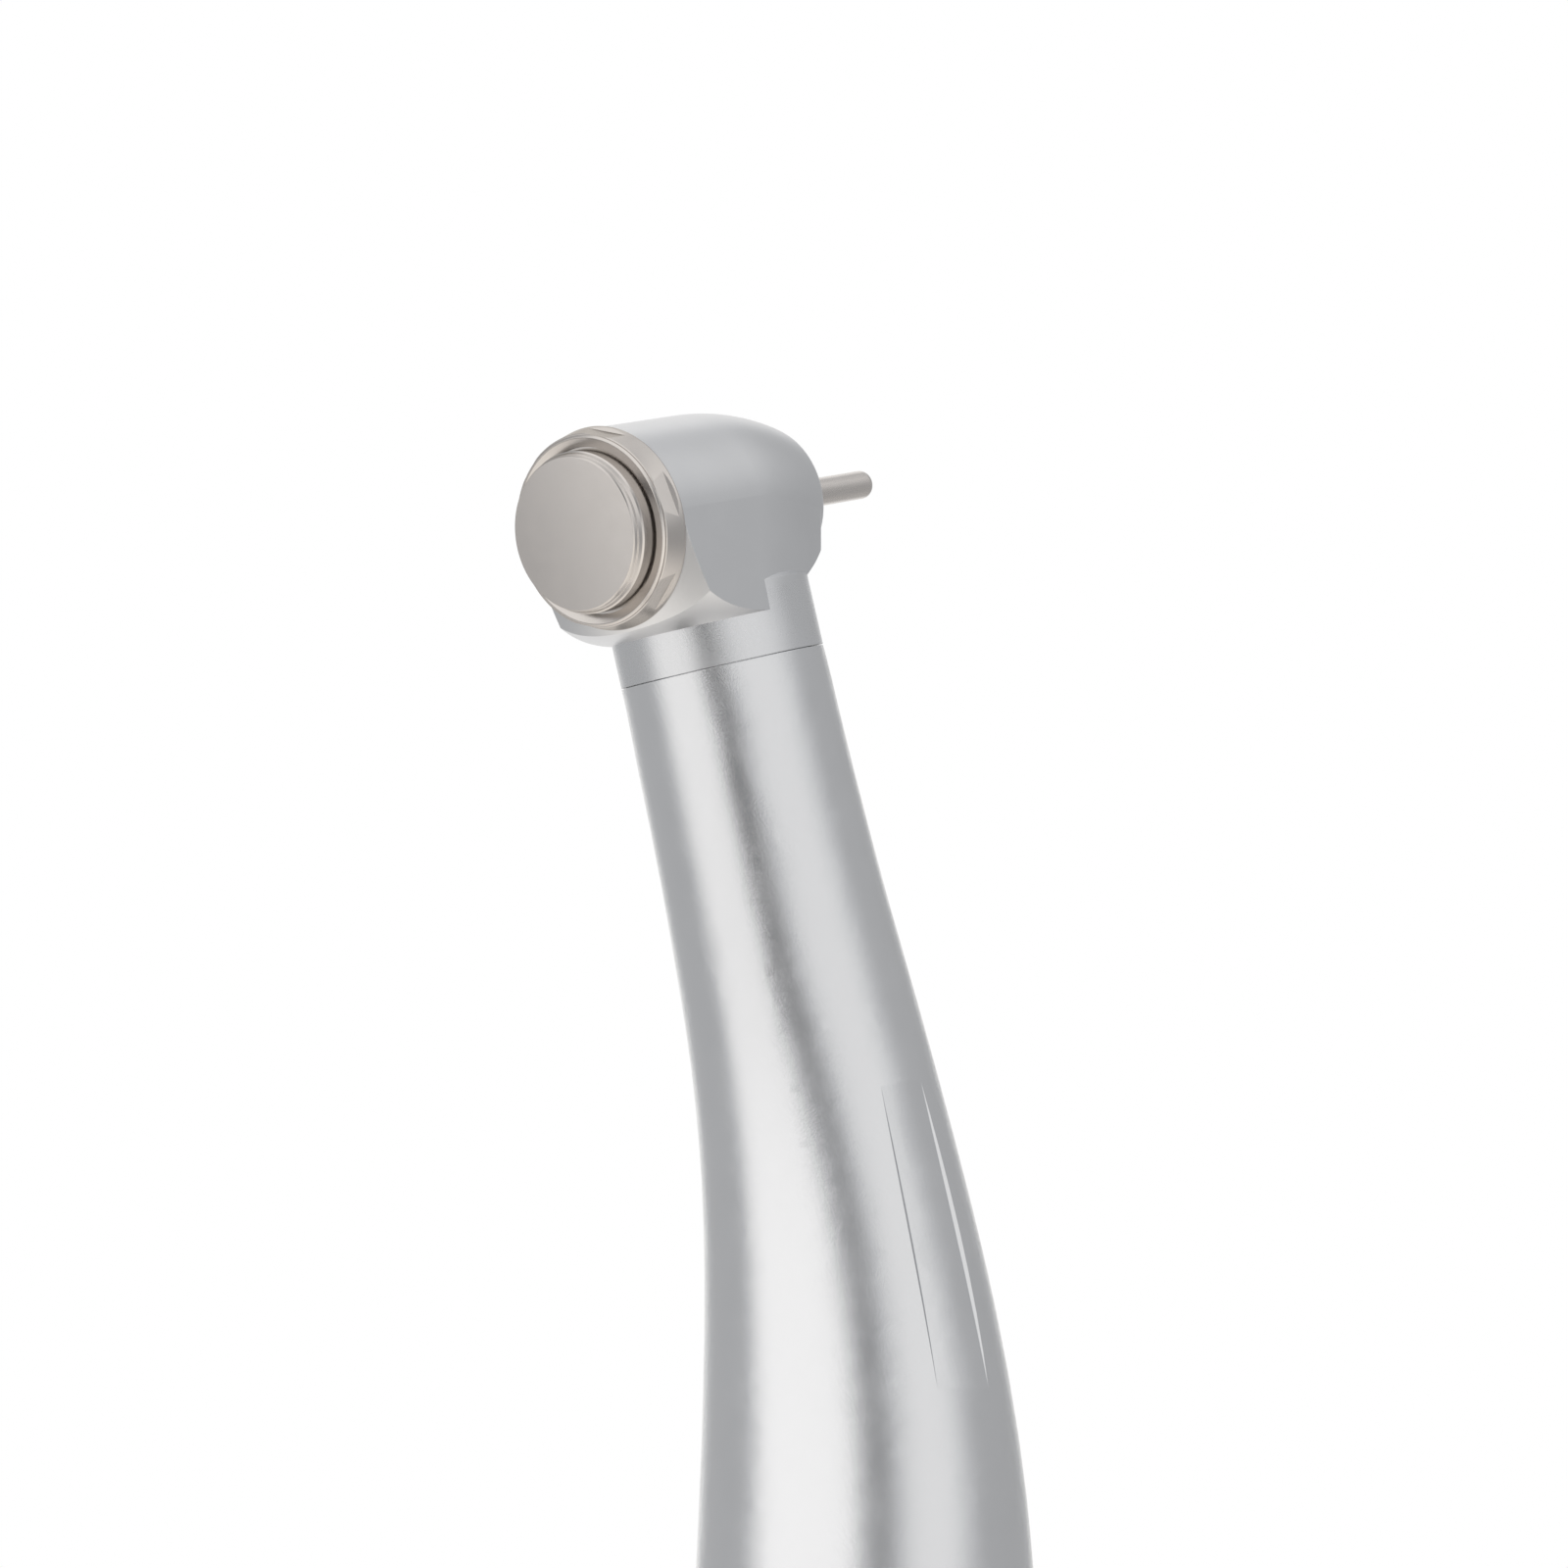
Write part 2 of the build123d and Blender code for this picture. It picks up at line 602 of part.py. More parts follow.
def test_bur():
    """Friction-grip test pin with a rounded free end."""
    pin = rod(BUR_R, *BUR_S)
    pin = fillet(pin.edges().sort_by(Axis.Z)[-1], BUR_TIP_ROUND)
    return HEAD * chamfer(pin.edges().sort_by(Axis.Z)[0], BUR_BUTT_CHAMFER)


# --- Neck, tubes and spacers ---


def ported_disc(t, radius):
    """Disc across the centreline, drilled for every line and the exhaust."""
    disc = rod(radius, -DISC_THICKNESS / 2, DISC_THICKNESS / 2)
    for dx, dy, outer, _ in LINES.values():
        disc -= Pos(dx, -dy, 0) * rod(outer + SLIP, -DISC_THICKNESS, DISC_THICKNESS)
    disc -= Pos(EXHAUST[0], -EXHAUST[1], 0) * rod(EXHAUST[2], -DISC_THICKNESS, DISC_THICKNESS)
    return centre(t) * disc


def tube_bulkhead():
    return ported_disc(BULKHEAD_T, NECK_CAVITY_R - SLIP)


def neck_o_ring():
    return centre(NECK_O_RING_T) * o_ring(SPIGOT_R - 0.16, NECK_O_RING_WIRE, 0)


def tube_spacers():
    return Compound(children=[ported_disc(t, r) for t, r in SPACERS.items()])


def service_tube(name):
    dx, dy, outer, bore = LINES[name]
    plane = centre(TUBE_START_T)
    section = Plane(origin=plane.from_local_coords(Vector(dx, -dy, 0)), z_dir=plane.z_dir)
    face = Circle(outer) - Circle(bore)
    return sweep(section * face, path=line_path(dx, dy, TUBE_START_T, REAR_T - TUBE_END_Z))


def water_check_valve():
    """Cartridge on the water tube that stops suck-back."""
    dx, dy, outer, _ = LINES["water"]
    sleeve = ring(outer + 0.02, outer + VALVE_WALL, -VALVE_HALF, VALVE_HALF)
    return centre(VALVE_T) * Pos(dx, -dy, 0) * sleeve


# --- Rear connector ---


def thread_cutter():
    low, high = SPIGOT_END_Z - OVERCUT, -PILOT_LEN - THREAD_PITCH / 2
    path = Pos(0, 0, low) * Helix(THREAD_PITCH, high - low, THREAD_R)
    half = THREAD_PITCH * 0.36
    groove = Polyline((-THREAD_DEPTH, 0), (0.1, half), (0.1, -half), close=True)
    section = Plane(origin=path @ 0, x_dir=(1, 0, 0), z_dir=path % 0) * make_face(groove)
    return sweep(section, path, is_frenet=True)


def rear_connector():
    low = SPIGOT_END_Z - OVERCUT
    body = ring(0, CONNECTOR_R, 0, CONNECTOR_TOP_Z)
    body += ring(0, CONNECTOR_LIP_R, 0, CONNECTOR_LIP)
    body += rod(THREAD_R, SPIGOT_END_Z, 0)
    body += rod(PILOT_R, -PILOT_LEN, 0)
    spigot_edge = body.edges().filter_by(GeomType.CIRCLE).sort_by(Axis.Z)[0]
    body = chamfer(spigot_edge, 0.4)
    body -= thread_cutter()
    for dx, dy, outer, _ in LINES.values():
        body -= Pos(dx, dy, 0) * rod(outer + SLIP, low, CONNECTOR_TOP_Z + OVERCUT)
    body -= Pos(EXHAUST[0], EXHAUST[1], 0) * rod(EXHAUST[2], low, CONNECTOR_TOP_Z + OVERCUT)
    body -= ring(CONNECTOR_R - 0.5, CONNECTOR_R + OVERCUT, *CONNECTOR_GROOVE_Z)
    return body


def connector_o_ring():
    return o_ring(CONNECTOR_R - 0.24, 0.25, sum(CONNECTOR_GROOVE_Z) / 2)


def rear_collar():
    """Knurled sleeve that covers the joint between the shell and the connector."""
    collar = ring(CONNECTOR_R + SLIP, COLLAR_R, COLLAR_LOW_Z, COLLAR_TOP_Z)
    collar -= ring(0, CONNECTOR_LIP_R + SLIP, 0, CONNECTOR_LIP + SLIP)
    collar = chamfer(collar.edges().filter_by(GeomType.CIRCLE).sort_by(Axis.Z)[-1], 0.1)
    groove = Rot(0, 0, 45) * Box(KNURL_WIDTH, KNURL_WIDTH, KNURL_Z[1] - KNURL_Z[0])
    for flat in around(groove, KNURL_COUNT, COLLAR_R + 0.06, sum(KNURL_Z) / 2):
        collar -= flat
    return collar


def nipple(name):
    """Tube end that seats in the connector and stands out of it as a slimmer hose port."""
    dx, dy, outer, _ = LINES[name]
    free = outer - NIPPLE_STEP
    bore = free - NIPPLE_WALL
    tube = turned(
        (bore, NIPPLE_END_Z),
        (free - 0.15, NIPPLE_END_Z),
        (free, NIPPLE_END_Z + 0.15),
        (free, SPIGOT_END_Z),
        (outer, SPIGOT_END_Z),
        (outer, TUBE_END_Z),
        (bore, TUBE_END_Z),
    )
    return Pos(dx, dy, 0) * tube


PARTS = {
    "head_housing": head_housing,
    "head_cap": head_cap,
    "push_button": push_button,
    "button_spring": button_spring,
    "spray_ring": spray_ring,
    "rear_bearing_carrier": rear_carrier,
    "carrier_o_ring": carrier_o_ring,
    "wave_washer": wave_washer,
    "rear_inner_race": lambda: race(BEARING_ID_R, INNER_RACE_R, REAR_BEARING_S),
    "rear_outer_race": lambda: race(OUTER_RACE_R, BEARING_OD_R, REAR_BEARING_S),
    "rear_balls": lambda: balls(REAR_BEARING_S),
    "rear_cage": lambda: cage(REAR_BEARING_S),
    "rear_bearing_o_ring": lambda: bearing_o_ring(REAR_BEARING_S),
    "front_inner_race": lambda: race(BEARING_ID_R, INNER_RACE_R, FRONT_BEARING_S),
    "front_outer_race": lambda: race(OUTER_RACE_R, BEARING_OD_R, FRONT_BEARING_S),
    "front_balls": lambda: balls(FRONT_BEARING_S),
    "front_cage": lambda: cage(FRONT_BEARING_S),
    "front_bearing_o_ring": lambda: bearing_o_ring(FRONT_BEARING_S),
    "impeller": impeller,
    "spindle": spindle,
    "chuck_collet": chuck_collet,
    "chuck_spring": chuck_spring,
    "release_plunger": release_plunger,
    "test_bur": test_bur,
    "neck_o_ring": neck_o_ring,
    "tube_bulkhead": tube_bulkhead,
    "handle_shell": handle_shell,
    "drive_air_tube": lambda: service_tube("drive_air"),
    "water_tube": lambda: service_tube("water"),
    "chip_air_tube": lambda: service_tube("chip_air"),
    "tube_spacers": tube_spacers,
    "water_check_valve": water_check_valve,
    "rear_connector": rear_connector,
    "connector_o_ring": connector_o_ring,
    "rear_collar": rear_collar,
    "drive_air_nipple": lambda: nipple("drive_air"),
    "water_nipple": lambda: nipple("water"),
    "chip_air_nipple": lambda: nipple("chip_air"),
}

os.makedirs("parts", exist_ok=True)
for name, make in PARTS.items():
    piece = make()
    piece.label = name
    export_step(piece, f"parts/{name}.step")
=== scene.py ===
import json
import math
import bmesh
import bpy
from mathutils import Matrix, Vector


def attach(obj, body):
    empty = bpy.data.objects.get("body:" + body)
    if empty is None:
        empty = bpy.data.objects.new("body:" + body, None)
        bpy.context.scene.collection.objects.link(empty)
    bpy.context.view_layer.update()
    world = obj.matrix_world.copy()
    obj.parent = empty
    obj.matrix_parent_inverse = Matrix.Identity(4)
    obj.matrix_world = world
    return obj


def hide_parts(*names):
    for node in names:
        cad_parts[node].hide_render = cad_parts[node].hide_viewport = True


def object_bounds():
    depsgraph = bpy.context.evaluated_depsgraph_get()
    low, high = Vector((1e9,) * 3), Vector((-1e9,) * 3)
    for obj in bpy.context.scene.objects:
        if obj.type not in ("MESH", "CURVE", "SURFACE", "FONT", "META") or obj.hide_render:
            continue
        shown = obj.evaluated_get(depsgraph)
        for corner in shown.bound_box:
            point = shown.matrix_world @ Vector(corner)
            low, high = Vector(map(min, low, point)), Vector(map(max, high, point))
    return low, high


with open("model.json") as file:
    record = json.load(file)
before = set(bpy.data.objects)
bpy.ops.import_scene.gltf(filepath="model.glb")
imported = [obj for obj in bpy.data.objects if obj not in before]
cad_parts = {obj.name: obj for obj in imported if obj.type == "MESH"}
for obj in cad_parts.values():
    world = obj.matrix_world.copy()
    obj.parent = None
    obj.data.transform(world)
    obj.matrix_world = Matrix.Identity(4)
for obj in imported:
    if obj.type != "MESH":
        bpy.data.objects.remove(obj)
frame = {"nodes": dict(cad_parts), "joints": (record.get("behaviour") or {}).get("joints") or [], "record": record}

CAD_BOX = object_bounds()

# --- Places read from the frame ---
JOINTS = {joint["name"]: joint for joint in frame["joints"]}
HEAD = Vector(JOINTS["rotor_spin"]["pos_m"])  # where the bur axis crosses the neck axis
BUR_AXIS = Vector(JOINTS["rotor_spin"]["axis"]).normalized()
NECK_DOWN = Vector((BUR_AXIS.z, 0, -BUR_AXIS.x))
MM = 0.001

# --- Handle centreline: a neck, an arc and a straight rear that meets the seating face at the origin ---
BEND = math.atan2(BUR_AXIS.z, BUR_AXIS.x)
NECK_RUN = 26.8 * MM
BEND_R = (-HEAD.x - NECK_RUN * math.sin(BEND)) / (1 - math.cos(BEND))
REAR_RUN = HEAD.z - NECK_RUN * math.cos(BEND) - BEND_R * math.sin(BEND)

# --- Camera and studio ---
VIEW_AZIMUTH = math.radians(-49.03)
VIEW_ELEVATION = math.radians(-14.96)
VIEW_DISTANCE = 0.350
LENS_MM = 146.3
SENSOR_MM = 36
CLIP_START = 0.01
AIM_RIGHT = 5.276 * MM  # how far the aim point lies from the head, across and below it in the view
AIM_DOWN = -14.811 * MM

# Angles in degrees: turn is about the vertical from the camera's side, positive to the picture's right, and
# rise is the height over the horizon. Each window is (middle, half width, soft edge), and lean is the turn
# that it gains for each degree of rise. Each slope is (where the change starts, where it ends): in turn for
# the room, in turn away from BACKDROP_TURN for the backdrop, and in rise for the others.
ROOM = {"slope": (-100, 100), "glow": (0.555, 0.50)}
SOFTBOXES = [
    {"turn": (-40, 42, 7), "rise": (20, 50, 35), "lean": 0.0, "glow": 0.78},
    {"turn": (39, 27, 17), "rise": (10, 55, 25), "lean": 0.75, "glow": 0.53},
    {"turn": (85, 40, 25), "rise": (42, 22, 18), "lean": 0.0, "glow": 0.11},
]
CARD = {"turn": (0, 12, 9), "lean": 0.68, "slope": (-26, 16), "shade": (0.99, 0.38)}
CEILING = {"slope": (42, 90), "glow": 1.0}
GROUND = {"slope": (-14, -50), "glow": 1.3}
BACKDROP = {"slope": (147, 168), "glow": 1.1}
BACKDROP_TURN = 3
WARM_GROUND = (-8, -45)  # slope in rise over which the light turns fully warm
WARM_LIGHT = {"glow": (0.5, 1.2), "warmth": (-0.25, 0.40)}  # bright light is warmer than dim light
WARMTH = (0.0, 0.045, 0.105)  # what fully warm light loses in red, green and blue

FLOOR_GAP = 0.05 * MM
FLOOR_HALF = 1.5
FLOOR_COLOUR = (0.86, 0.845, 0.82, 1)


def view_axes(azimuth, elevation):
    """Unit vectors from the object to the camera, to the picture's right and up."""
    back = Vector((math.sin(azimuth) * math.cos(elevation), -math.cos(azimuth) * math.cos(elevation),
                   math.sin(elevation)))
    right = Vector((math.cos(azimuth), math.sin(azimuth), 0))
    return back, right, back.cross(right)


BACK, RIGHT, UP = view_axes(VIEW_AZIMUTH, VIEW_ELEVATION)


def add_camera():
    """The photo's camera."""
    data = bpy.data.cameras.new("photo_camera")
    data.lens = LENS_MM
    data.sensor_width = SENSOR_MM
    data.clip_start = CLIP_START
    camera = bpy.data.objects.new("photo_camera", data)
    camera.location = HEAD + AIM_RIGHT * RIGHT + AIM_DOWN * UP + VIEW_DISTANCE * BACK
    camera.rotation_euler = BACK.to_track_quat("Z", "Y").to_euler()
    bpy.context.scene.collection.objects.link(camera)
    bpy.context.scene.camera = camera


class NodeMaker:
    """Short calls for building a node tree: each returns the socket that it makes."""

    def __init__(self, tree):
        self.tree = tree

    def add(self, kind, **settings):
        made = self.tree.nodes.new(kind)
        for key, value in settings.items():
            setattr(made, key, value)
        return made

    def feed(self, socket, value):
        if isinstance(value, bpy.types.NodeSocket):
            self.tree.links.new(value, socket)
        else:
            socket.default_value = value

    def fill(self, made, **values):
        for key, value in values.items():
            self.feed(made.inputs[key.replace("_", " ")], value)

    def math(self, operation, *values):
        made = self.add("ShaderNodeMath", operation=operation)
        for socket, value in zip(made.inputs, values):
            self.feed(socket, value)
        return made.outputs["Value"]

    def vector(self, operation, *values, output="Vector"):
        made = self.add("ShaderNodeVectorMath", operation=operation)
        for socket, value in zip(made.inputs, values):
            self.feed(socket, value)
        return made.outputs[output]

    def remap(self, value, low, high, to_low, to_high, kind="LINEAR"):
        made = self.add("ShaderNodeMapRange", interpolation_type=kind)
        for key, entry in zip(("Value", "From Min", "From Max", "To Min", "To Max"),
                              (value, low, high, to_low, to_high)):
            self.feed(made.inputs[key], entry)
        return made.outputs["Result"]

    def window(self, value, middle, half, soft):
        """1 within half of the middle and 0 outside it, with soft edges."""
        away = self.math("ABSOLUTE", self.math("SUBTRACT", value, middle))
        return self.remap(away, half - soft, half + soft, 1.0, 0.0, "SMOOTHSTEP")

    def split(self, vector):
        made = self.add("ShaderNodeSeparateXYZ")
        self.feed(made.inputs[0], vector)
        return made.outputs["X"], made.outputs["Y"], made.outputs["Z"]

    def join(self, x, y, z):
        made = self.add("ShaderNodeCombineXYZ")
        self.fill(made, X=x, Y=y, Z=z)
        return made.outputs["Vector"]

    def noise(self, place, size, detail=2.0, roughness=0.5, stretch=(1, 1, 1)):
        """Noise whose features are the size across, or longer along an axis with a stretch over 1."""
        scale = tuple(1 / (size * factor) for factor in stretch)
        made = self.add("ShaderNodeTexNoise")
        self.fill(made, Vector=self.vector("MULTIPLY", place, scale), Scale=1.0, Detail=detail,
                  Roughness=roughness)
        return made.outputs["Fac"]

    def total(self, *values):
        result = values[0]
        for value in values[1:]:
            result = self.math("ADD", result, value)
        return result


def view_angles(make):
    """Turn and rise of each direction of the world, in degrees."""
    direction = make.add("ShaderNodeTexCoord").outputs["Generated"]
    front = Vector((BACK.x, BACK.y, 0)).normalized()
    across = make.vector("DOT_PRODUCT", direction, RIGHT, output="Value")
    towards = make.vector("DOT_PRODUCT", direction, front, output="Value")
    height = make.vector("DOT_PRODUCT", direction, (0, 0, 1), output="Value")
    rise = make.math("MULTIPLY", make.math("ARCSINE", height), math.degrees(1))
    heading = make.math("MULTIPLY", make.math("ARCTAN2", across, towards), math.degrees(1))
    return heading, rise


def studio_light(make, heading, rise):
    """Strength of the light: a grey room, ceiling, ground and backdrop, then softboxes, then the card."""
    light = make.remap(heading, *ROOM["slope"], *ROOM["glow"], "SMOOTHSTEP")
    away = make.math("ABSOLUTE", make.math("SUBTRACT", heading, BACKDROP_TURN))
    for part, value in ((CEILING, rise), (GROUND, rise), (BACKDROP, away)):
        glow = make.remap(value, *part["slope"], 0.0, 1.0, "SMOOTHSTEP")
        gain = make.math("MAXIMUM", make.math("SUBTRACT", part["glow"], light), 0.0)
        light = make.math("ADD", light, make.math("MULTIPLY", glow, gain))
    for box in SOFTBOXES:
        turn = make.math("SUBTRACT", heading, make.math("MULTIPLY", rise, box["lean"]))
        shape = make.math("MULTIPLY", make.window(turn, *box["turn"]), make.window(rise, *box["rise"]))
        light = make.math("ADD", light, make.math("MULTIPLY", shape, box["glow"]))
    turn = make.math("SUBTRACT", heading, make.math("MULTIPLY", rise, CARD["lean"]))
    depth = make.remap(rise, *CARD["slope"], *CARD["shade"])
    shade = make.math("MULTIPLY", make.window(turn, *CARD["turn"]), depth)
    return make.math("MULTIPLY", light, make.math("SUBTRACT", 1.0, shade))


def studio_tint(make, light, rise):
    """Colour of the light."""
    from_ground = make.remap(rise, *WARM_GROUND, 0.0, 1.0, "SMOOTHSTEP")
    from_boxes = make.remap(light, *WARM_LIGHT["glow"], *WARM_LIGHT["warmth"])
    warm = make.math("MAXIMUM", from_ground, from_boxes)
    tint = [make.math("SUBTRACT", 1.0, make.math("MULTIPLY", warm, share)) for share in WARMTH]
    return make.join(*tint)


def add_world():
    """The studio lights the object, and the camera sees white behind it."""
    world = bpy.data.worlds.new("studio")
    bpy.context.scene.world = world
    world.use_nodes = True
    world.node_tree.nodes.clear()
    make = NodeMaker(world.node_tree)
    heading, rise = view_angles(make)
    light = studio_light(make, heading, rise)
    room = make.add("ShaderNodeBackground")
    make.fill(room, Color=studio_tint(make, light, rise), Strength=light)
    backdrop = make.add("ShaderNodeBackground")
    backdrop.inputs["Color"].default_value = (1, 1, 1, 1)
    mix = make.add("ShaderNodeMixShader")
    make.feed(mix.inputs["Fac"], make.add("ShaderNodeLightPath").outputs["Is Camera Ray"])
    make.feed(mix.inputs[1], room.outputs["Background"])
    make.feed(mix.inputs[2], backdrop.outputs["Background"])
    output = make.add("ShaderNodeOutputWorld")
    make.feed(output.inputs["Surface"], mix.outputs["Shader"])


def add_floor():
    """Paper under the object, which its metal doesn't reflect."""
    low = CAD_BOX[0][2] - FLOOR_GAP
    mesh = bpy.data.meshes.new("floor")
    signs = ((-1, -1), (1, -1), (1, 1), (-1, 1))
    mesh.from_pydata([(x * FLOOR_HALF, y * FLOOR_HALF, low) for x, y in signs], [], [(0, 1, 2, 3)])
    floor = bpy.data.objects.new("floor", mesh)
    bpy.context.scene.collection.objects.link(floor)
    material = bpy.data.materials.new("floor_paper")
    material.use_nodes = True
    shader = material.node_tree.nodes["Principled BSDF"]
    shader.inputs["Base Color"].default_value = FLOOR_COLOUR
    shader.inputs["Roughness"].default_value = 0.9
    mesh.materials.append(material)
    floor.visible_glossy = False


# --- Materials ---
BRUSH_TWIST = 95.0  # slant of the handle's brush marks: radians round it for each metre along it
NECK_BRUSH_START = (4.4 * MM, 5.2 * MM)  # distances below the bur axis over which the neck's brushing sets in
NECK_BRUSH_EDGE = (5.75 * MM, 5.60 * MM)  # distances from the neck axis over which it sets in
HEAD_ROUGHNESS = 0.36
HEAD_EDGE = 0.015 * MM  # rounding of the head's edges, and of the handle's
HANDLE_EDGE = 0.04 * MM
TURNING_DRIFT = 0.02  # how far turning marks wander round a turned face, as a share of the radius
CAP_TONE = (0.565, 0.540, 0.522)
CAP_EDGE_TINT = (0.62, 0.60, 0.57, 1)  # the cap and button are darker where they are seen edge on
BUR_TONE = (0.66, 0.63, 0.61)
PATTERN_RANGE = (0.3, 0.7)  # noise seldom leaves it


class Finish(NodeMaker):
    """A material whose tone, roughness and relief vary with patterns made by its nodes."""

    def __init__(self, name, base, metallic=1.0):
        self.material = bpy.data.materials.new(name)
        self.material.use_nodes = True
        super().__init__(self.material.node_tree)
        self.shader = self.tree.nodes["Principled BSDF"]
        self.shader.inputs["Base Color"].default_value = (*base, 1)
        self.shader.inputs["Metallic"].default_value = metallic
        self.base = base
        self.place = self.add("ShaderNodeTexCoord").outputs["Object"]

    def tone(self, pattern, dark, light=1.0):
        """Base colour that runs from dark to light times the base over the pattern's range."""
        level = self.remap(pattern, *PATTERN_RANGE, dark, light)
        colour = self.vector("MULTIPLY", self.join(level, level, level), self.base)
        self.feed(self.shader.inputs["Base Color"], colour)

    def rough(self, pattern, low, high):
        """Roughness that runs from low to high over the pattern's range."""
        self.feed(self.shader.inputs["Roughness"], self.remap(pattern, *PATTERN_RANGE, low, high))

    def relief(self, *layers, edge=0.0):
        """Bumps from (pattern, height) layers over edges rounded by the edge radius."""
        normal = None
        if edge:
            bevel = self.add("ShaderNodeBevel", samples=6)
            bevel.inputs["Radius"].default_value = edge
            normal = bevel.outputs["Normal"]
        for pattern, height in layers:
            bump = self.add("ShaderNodeBump")
            self.fill(bump, Strength=1.0, Distance=height, Height=pattern)
            if normal:
                self.feed(bump.inputs["Normal"], normal)
            normal = bump.outputs["Normal"]
        self.feed(self.shader.inputs["Normal"], normal)

    def along_handle(self):
        """Place with the handle's bend straightened out: X and Y across it, Z up along its centreline."""
        x, y, z = self.split(self.place)
        out = self.math("ADD", x, BEND_R)
        up = self.math("SUBTRACT", z, REAR_RUN)
        angle = self.math("MINIMUM", self.math("MAXIMUM", self.math("ARCTAN2", up, out), 0.0), BEND)
        cosine, sine = self.math("COSINE", angle), self.math("SINE", angle)
        across = self.math("ADD", self.math("MULTIPLY", out, cosine), self.math("MULTIPLY", up, sine))
        past = self.math("SUBTRACT", self.math("MULTIPLY", up, cosine), self.math("MULTIPLY", out, sine))
        run = self.math("ADD", self.math("MULTIPLY", angle, BEND_R), past)
        return self.join(self.math("SUBTRACT", across, BEND_R), y, run)

    def twisted(self, place, twist):
        """Place turned about its Z by the twist in radians for each metre along Z."""
        made = self.add("ShaderNodeVectorRotate", rotation_type="Z_AXIS")
        self.fill(made, Vector=place, Angle=self.math("MULTIPLY", self.split(place)[2], twist))
        return made.outputs["Vector"]

    def about_bur(self):
        """Place from the head's centre, with Z along the bur axis."""
        made = self.add("ShaderNodeVectorRotate", rotation_type="Y_AXIS")
        self.fill(made, Vector=self.vector("SUBTRACT", self.place, HEAD), Angle=BEND - math.pi / 2)
        return made.outputs["Vector"]

    def turned(self, place):
        """Radius about Z, a slow drift round it, and height: noise on it makes turning marks."""
        x, y, z = self.split(place)
        radius = self.vector("LENGTH", self.join(x, y, 0.0), output="Value")
        drift = self.math("DIVIDE", self.math("MULTIPLY", x, TURNING_DRIFT), self.math("ADD", radius, MM))
        return self.join(radius, self.math("MULTIPLY", drift, MM), z)


def handle_finish(name, base, head=False):
    """Satin steel with a fine slanting brush grain; the head above the neck is bead-blasted."""
    finish = Finish(name, base)
    place = finish.along_handle()
    brush = finish.noise(finish.twisted(place, BRUSH_TWIST), 0.055 * MM, 3.0, 0.6, stretch=(1, 1, 7))
    pits = finish.noise(place, 0.09 * MM, 3.0, 0.6)
    patch = finish.noise(place, 3.0 * MM, 4.0, 0.55)
    mixed = finish.math("MULTIPLY", finish.total(brush, pits, patch), 1 / 3)
    satin = finish.remap(mixed, 0.42, 0.58, 0.17, 0.25)
    brushed, edge = 1.0, HANDLE_EDGE
    if head:
        centred = finish.vector("SUBTRACT", finish.place, HEAD)
        down = finish.vector("DOT_PRODUCT", centred, NECK_DOWN, output="Value")
        aside = finish.vector("LENGTH", finish.vector("CROSS_PRODUCT", centred, NECK_DOWN), output="Value")
        below = finish.remap(down, *NECK_BRUSH_START, 0.0, 1.0, "SMOOTHSTEP")
        inside = finish.remap(aside, *NECK_BRUSH_EDGE, 0.0, 1.0, "SMOOTHSTEP")
        brushed = finish.math("MULTIPLY", below, inside)
        satin = finish.remap(brushed, 0.0, 1.0, HEAD_ROUGHNESS, satin)
        edge = HEAD_EDGE
    finish.feed(finish.shader.inputs["Roughness"], satin)
    finish.tone(patch, 0.97)
    streaks = finish.math("MULTIPLY", brush, brushed)
    finish.relief((streaks, 0.009 * MM), (pits, 0.005 * MM), edge=edge)
    return finish.material


def head_finish(name, base):
    return handle_finish(name, base, head=True)


def cap_finish(name, base):
    """Satin nickel: fine turning marks under a soft grain."""
    finish = Finish(name, base)
    place = finish.about_bur()
    marks = finish.noise(finish.turned(place), 0.035 * MM, 2.0, 0.6)
    grain = finish.noise(place, 0.06 * MM, 3.0, 0.6)
    finish.rough(finish.noise(place, 1.2 * MM, 3.0, 0.5), 0.20, 0.27)
    finish.shader.inputs["Specular Tint"].default_value = CAP_EDGE_TINT
    finish.tone(grain, 0.95)
    finish.relief((marks, 0.0012 * MM), (grain, 0.0016 * MM))
    return finish.material


def bur_finish(name, base):
    """Drawn steel with marks along the bur."""
    finish = Finish(name, base)
    place = finish.about_bur()
    draw = finish.noise(place, 0.05 * MM, 3.0, 0.6, stretch=(1, 1, 30))
    grain = finish.noise(place, 0.05 * MM, 2.0, 0.5)
    finish.rough(grain, 0.24, 0.34)
    finish.tone(draw, 0.90)
    finish.relief((draw, 0.003 * MM), (grain, 0.001 * MM))
    return finish.material


def turned_finish(name, base, roughness, pitch, height, edge=0.04, about_bur=False):
    """Turned metal with rings about the handle's axis or the bur's; pitch, height and edge in millimetres."""
    finish = Finish(name, base)
    place = finish.about_bur() if about_bur else finish.place
    marks = finish.noise(finish.turned(place), pitch * MM, 2.0, 0.55)
    grain = finish.noise(place, 0.08 * MM, 3.0, 0.6)
    finish.rough(finish.noise(place, 1.5 * MM, 3.0, 0.5), roughness - 0.05, roughness + 0.07)
    finish.tone(grain, 0.93)
    finish.relief((marks, height * MM), (grain, 0.002 * MM), edge=edge * MM)
    return finish.material


def wire_finish(name, base):
    """Drawn spring wire with patchy oxide."""
    finish = Finish(name, base)
    patch = finish.noise(finish.place, 0.4 * MM, 3.0, 0.6)
    draw = finish.noise(finish.place, 0.03 * MM, 2.0, 0.6)
    finish.rough(patch, 0.22, 0.38)
    finish.tone(patch, 0.80)
    finish.relief((draw, 0.002 * MM))
    return finish.material


